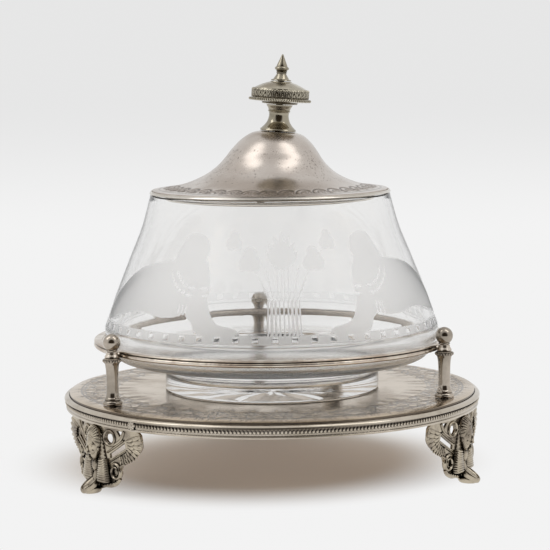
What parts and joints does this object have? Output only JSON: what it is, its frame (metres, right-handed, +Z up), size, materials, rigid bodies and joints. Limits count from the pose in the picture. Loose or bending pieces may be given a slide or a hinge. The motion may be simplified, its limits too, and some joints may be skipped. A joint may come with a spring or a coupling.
{
  "type": "covered sugar bowl",
  "caption": "Covered sugar bowl: etched glass bowl with a loose domed metal lid, standing in a gallery ring on a round footed tray.",
  "frame": {"origin": "centre of the round tray, on the surface that the three feet stand on", "axes": "+Z up along the axis of the tray and bowl; the front is -Y, midway between the left and right feet; +X to the right seen from the front"},
  "size_m": [0.18, 0.1826, 0.179],
  "materials": {
    "plated_metal": "silver plate, polished and lightly tarnished",
    "worn_plate": "silver plate, worn to the yellow metal in places",
    "cast_metal": "cast and plated, dark in the hollows and worn on the high places",
    "hardware": "plain brass, dull",
    "clear_glass": "clear, polished, with etched decoration"
  },
  "bodies": {
    "stand": {"tray_plate": "plated_metal", "tray_border": "plated_metal", "gallery_ring": "worn_plate", "post_column_left": "plated_metal", "post_ball_left": "plated_metal", "post_nut_left": "hardware", "foot_left": "cast_metal", "post_column_right": "plated_metal", "post_ball_right": "plated_metal", "post_nut_right": "hardware", "foot_right": "cast_metal", "post_column_back": "plated_metal", "post_ball_back": "plated_metal", "post_nut_back": "hardware", "foot_back": "cast_metal"},
    "bowl": {"glass_bowl": "clear_glass"},
    "lid": {"lid_dome": "plated_metal", "lid_rim": "plated_metal", "lid_bezel": "plated_metal", "finial_socle": "worn_plate", "finial_capital": "cast_metal", "finial_spire": "cast_metal", "finial_rod": "hardware", "finial_washer": "hardware", "finial_nut": "hardware"}
  },
  "joints": [
    {"name": "bowl_lift", "type": "slide", "parent": "stand", "child": "bowl", "axis": [0, 0, 1], "range_m": [0, 0.06]},
    {"name": "lid_lift", "type": "slide", "parent": "bowl", "child": "lid", "axis": [0, 0, 1], "range_m": [0, 0.08]}
  ]
}
